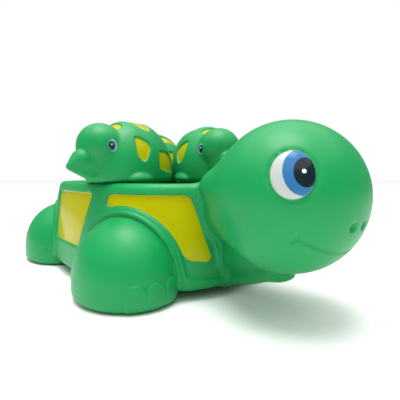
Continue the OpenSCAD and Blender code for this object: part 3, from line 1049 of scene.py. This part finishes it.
def add_node(
    tree: bpy.types.NodeTree,
    kind: str,
    settings: dict[str, object] | None = None,
    links: dict[str | int, bpy.types.NodeSocket | object] | None = None,
) -> bpy.types.Node:
    """Add a node with its settings, input values and links.

    Args:
        tree: Tree that gets the node.
        kind: Node type without its prefix, such as "TexNoise".
        settings: Properties of the node.
        links: Input to the socket that feeds it, or to its value.

    Returns:
        The new node.
    """
    node = tree.nodes.new("ShaderNode" + kind)
    for name, value in (settings or {}).items():
        setattr(node, name, value)
    for name, source in (links or {}).items():
        if isinstance(source, bpy.types.NodeSocket):
            tree.links.new(source, node.inputs[name])
        else:
            node.inputs[name].default_value = source
    return node


def start_material(name: str) -> tuple[bpy.types.Material, bpy.types.Node, bpy.types.NodeSocket]:
    """Start a material that is laid out on the piece itself.

    Args:
        name: Name of the material.

    Returns:
        The material, its shader, and the place on the piece in metres.
    """
    material = bpy.data.materials.new(name)
    material.use_nodes = True
    shader = material.node_tree.nodes["Principled BSDF"]
    return material, shader, add_node(material.node_tree, "TexCoord").outputs["Object"]


@dataclass(frozen=True)
class Coat:
    """One coat of paint on a skin."""

    paint: Paint
    colour: str
    roughness: float
    gloss: float


@dataclass(frozen=True)
class CastVinyl:
    """Soft PVC, rotationally cast in a satin mould, with sprayed and stamped paint.

    The mould's etched face gives a broad soft sheen; the paint lies smoother and shines.
    """

    name: str = "soft_pvc_rotocast_painted"
    colour: str = "#149e57"
    deep_colour: str = "#0e934e"
    roughness: float = 0.4
    ior: float = 1.53
    gloss: float = 0.28
    # The etched grain is near 0.1 mm, drawn coarser so that it shows
    grain_mm: float = 0.35
    grain_depth_mm: float = 0.05
    grain_strength: float = 0.06
    cloud_mm: float = 30.0
    edge_mm: float = 0.12
    coats: tuple[Coat, ...] = (
        Coat(Paint.POCKET, "#b4b200", 0.16, 0.12),
        Coat(Paint.EYE_WHITE, "#bfc7c1", 0.16, 0.3),
        Coat(Paint.IRIS, "#3472aa", 0.16, 0.2),
        Coat(Paint.PUPIL, "#0c2226", 0.14, 0.3),
        Coat(Paint.GLINT, "#f2f4f2", 0.2, 0.3),
    )

    def make(self) -> bpy.types.Material:
        """Build the material.

        Returns:
            The material, which reads the paint gaps of the mesh it is on.
        """
        material, shader, where = start_material(self.name)
        tree = material.node_tree
        cloud = add_node(
            tree, "TexNoise", None, {"Vector": where, "Scale": 1.0 / (self.cloud_mm * MM), "Detail": 3.0}
        )
        base = add_node(
            tree, "Mix", {"data_type": "RGBA"},
            {0: cloud.outputs["Fac"], 6: linear(self.colour), 7: linear(self.deep_colour)},
        ).outputs[2]
        rough: bpy.types.NodeSocket | float = self.roughness
        gloss: bpy.types.NodeSocket | float = self.gloss
        for coat in self.coats:
            gap = add_node(tree, "Attribute", {"attribute_name": coat.paint.value}).outputs["Fac"]
            cover = add_node(
                tree, "MapRange", {"interpolation_type": "SMOOTHSTEP"},
                {"Value": gap, "From Min": self.edge_mm, "From Max": -self.edge_mm},
            ).outputs["Result"]
            base = add_node(
                tree, "Mix", {"data_type": "RGBA"}, {0: cover, 6: base, 7: linear(coat.colour)}
            ).outputs[2]
            rough = add_node(
                tree, "Mix", {"data_type": "FLOAT"}, {0: cover, 2: rough, 3: coat.roughness}
            ).outputs[0]
            gloss = add_node(
                tree, "Mix", {"data_type": "FLOAT"}, {0: cover, 2: gloss, 3: coat.gloss}
            ).outputs[0]
        grain = add_node(
            tree, "TexNoise", None, {"Vector": where, "Scale": 1.0 / (self.grain_mm * MM), "Detail": 2.0}
        )
        bump = add_node(
            tree, "Bump", None,
            {
                "Strength": self.grain_strength,
                "Distance": self.grain_depth_mm * MM,
                "Height": grain.outputs["Fac"],
            },
        )
        tree.links.new(base, shader.inputs["Base Color"])
        tree.links.new(rough, shader.inputs["Roughness"])
        tree.links.new(gloss, shader.inputs["Specular IOR Level"])
        tree.links.new(bump.outputs["Normal"], shader.inputs["Normal"])
        shader.inputs["IOR"].default_value = self.ior
        return material


@dataclass(frozen=True)
class MouldedPlastic:
    """Injection-moulded polyethylene of the squeaker sleeves: waxy, with faint flow clouds."""

    name: str = "polyethylene_moulded"
    colour: str = "#e8e6dc"
    shade: str = "#d8d4c4"
    roughness: float = 0.45
    ior: float = 1.51
    cloud_mm: float = 4.0
    cloud_depth_mm: float = 0.1
    cloud_strength: float = 0.05

    def make(self) -> bpy.types.Material:
        """Build the material."""
        material, shader, where = start_material(self.name)
        tree = material.node_tree
        cloud = add_node(tree, "TexNoise", None, {"Vector": where, "Scale": 1.0 / (self.cloud_mm * MM)})
        tone = add_node(
            tree, "Mix", {"data_type": "RGBA"},
            {0: cloud.outputs["Fac"], 6: linear(self.colour), 7: linear(self.shade)},
        )
        bump = add_node(
            tree, "Bump", None,
            {
                "Strength": self.cloud_strength,
                "Distance": self.cloud_depth_mm * MM,
                "Height": cloud.outputs["Fac"],
            },
        )
        tree.links.new(tone.outputs[2], shader.inputs["Base Color"])
        tree.links.new(bump.outputs["Normal"], shader.inputs["Normal"])
        shader.inputs["Roughness"].default_value = self.roughness
        shader.inputs["IOR"].default_value = self.ior
        return material


@dataclass(frozen=True)
class RolledBrass:
    """Thin brass strip of the reeds, with fine lines from the rolls."""

    name: str = "brass_rolled"
    colour: str = "#c9a24f"
    roughness: float = 0.28
    # Rolling lines are finer than 0.05 mm, drawn coarser so that they show
    line_mm: float = 0.2
    line_stretch: float = 0.05
    line_depth_mm: float = 0.05
    line_strength: float = 0.08

    def make(self) -> bpy.types.Material:
        """Build the material."""
        material, shader, where = start_material(self.name)
        tree = material.node_tree
        stretch = add_node(
            tree, "Mapping", None, {"Vector": where, "Scale": (1.0, 1.0, self.line_stretch)}
        ).outputs["Vector"]
        lines = add_node(tree, "TexNoise", None, {"Vector": stretch, "Scale": 1.0 / (self.line_mm * MM)})
        bump = add_node(
            tree, "Bump", None,
            {
                "Strength": self.line_strength,
                "Distance": self.line_depth_mm * MM,
                "Height": lines.outputs["Fac"],
            },
        )
        tree.links.new(bump.outputs["Normal"], shader.inputs["Normal"])
        shader.inputs["Base Color"].default_value = linear(self.colour)
        shader.inputs["Metallic"].default_value = 1.0
        shader.inputs["Roughness"].default_value = self.roughness
        return material


@dataclass
class Squeakers:
    """Sleeves, reed beds and reeds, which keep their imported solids."""

    turtles: tuple[str, ...] = ("mother", "baby_right", "baby_front", "baby_rear")
    plastic: MouldedPlastic = field(default_factory=MouldedPlastic)
    brass: RolledBrass = field(default_factory=RolledBrass)

    def dress(self) -> None:
        """Give each piece its material."""
        plastic, brass = self.plastic.make(), self.brass.make()
        finishes = {"squeaker_sleeve": plastic, "reed_bed": plastic, "reed": brass}
        for turtle in self.turtles:
            for piece, material in finishes.items():
                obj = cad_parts[f"{turtle}_{piece}"]
                obj.data.materials.clear()
                obj.data.materials.append(material)
                log.info("dressed %s", obj.name)


@dataclass(frozen=True)
class Lamp:
    """A soft square lamp: its place, side and target in metres, and its power in watts."""

    name: str
    at: Place
    side: float
    watts: float
    target: Place

    def hang(self) -> None:
        """Add the lamp to the scene."""
        data = bpy.data.lights.new(self.name, "AREA")
        data.size = self.side
        data.energy = self.watts
        lamp = bpy.data.objects.new(self.name, data)
        lamp.location = self.at
        facing = Vector(self.target) - Vector(self.at)
        lamp.rotation_euler = facing.to_track_quat("-Z", "Y").to_euler()
        bpy.context.scene.collection.objects.link(lamp)


@dataclass
class Studio:
    """White table, soft light and the camera of the photograph."""

    eye: Place = (0.13535, -0.0909, 0.0471)
    look: Place = (-0.7815, 0.6240, -0.0743)
    lens_mm: float = 29.7
    sensor_mm: float = 36.0
    near_clip: float = 0.005
    floor_half: float = 4.0
    floor_colour: str = "#fafafa"
    floor_roughness: float = 0.6
    floor_gloss: float = 0.05
    room_light: float = 0.25
    ceiling_light: float = 2.5
    ceiling_spread: float = 100.0
    lamps: tuple[Lamp, ...] = (
        Lamp("overhead", (0.05, -0.1, 0.9), 0.5, 6.5, (0.0, 0.0, 0.03)),
        Lamp("front_fill", (0.75, -0.55, 0.45), 0.6, 0.15, (0.0, 0.0, 0.04)),
    )

    def table(self) -> None:
        """Add the pale table top."""
        Bench.clear()
        bpy.ops.mesh.primitive_plane_add(size=2 * self.floor_half)
        table = bpy.context.object
        table.name = "table_top"
        material = bpy.data.materials.new("white_laminate")
        material.use_nodes = True
        shader = material.node_tree.nodes["Principled BSDF"]
        shader.inputs["Base Color"].default_value = linear(self.floor_colour)
        shader.inputs["Roughness"].default_value = self.floor_roughness
        shader.inputs["Specular IOR Level"].default_value = self.floor_gloss
        table.data.materials.append(material)

    def light(self) -> None:
        """Light the scene from above and from the camera's side."""
        world = bpy.data.worlds.new("white_room")
        world.use_nodes = True
        background = world.node_tree.nodes["Background"]
        background.inputs["Color"].default_value = (1.0, 1.0, 1.0, 1.0)
        path = add_node(world.node_tree, "LightPath")
        strength = add_node(
            world.node_tree, "MapRange", None,
            {"Value": path.outputs["Is Camera Ray"], "To Min": self.room_light, "To Max": 1.0},
        )
        world.node_tree.links.new(strength.outputs["Result"], background.inputs["Strength"])
        bpy.context.scene.world = world
        bpy.context.scene.view_settings.view_transform = "Standard"
        sky = bpy.data.lights.new("ceiling_light", "SUN")
        sky.energy = self.ceiling_light
        sky.angle = math.radians(self.ceiling_spread)
        ceiling = bpy.data.objects.new("ceiling_light", sky)
        bpy.context.scene.collection.objects.link(ceiling)
        for lamp in self.lamps:
            lamp.hang()

    def camera(self) -> None:
        """Add the camera at the photograph's angle."""
        data = bpy.data.cameras.new("photo_camera")
        data.lens = self.lens_mm
        data.sensor_width = self.sensor_mm
        data.clip_start = self.near_clip
        camera = bpy.data.objects.new("photo_camera", data)
        camera.location = self.eye
        camera.rotation_euler = Vector(self.look).to_track_quat("-Z", "Y").to_euler()
        bpy.context.scene.collection.objects.link(camera)
        bpy.context.scene.camera = camera

    def set_up(self) -> None:
        """Build the whole stage."""
        self.table()
        self.light()
        self.camera()


def main() -> None:
    """Build the skins, dress the squeakers and set the stage."""
    logging.basicConfig(level=logging.INFO, format="%(name)s: %(message)s")
    Studio().set_up()
    vinyl = CastVinyl().make()
    mother = MotherSkin()
    seats = (
        Seat("baby_right", (20.5, -21.2), -77.0),
        Seat("baby_front", (29.0, 15.7), -15.0),
        Seat("baby_rear", (-13.5, 11.0), 180.0),
    )
    skins = {"mother": mother.make()}
    for seat, baby in zip(seats, BabySkin().make(mother, seats)):
        skins[seat.body] = baby
    for body, skin in skins.items():
        skin.data.materials.clear()
        skin.data.materials.append(vinyl)
        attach(skin, body)
        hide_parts(body + "_body")
        log.info("%s: %d faces", skin.name, len(skin.data.polygons))
    Squeakers().dress()


if __name__ == "__main__":
    main()
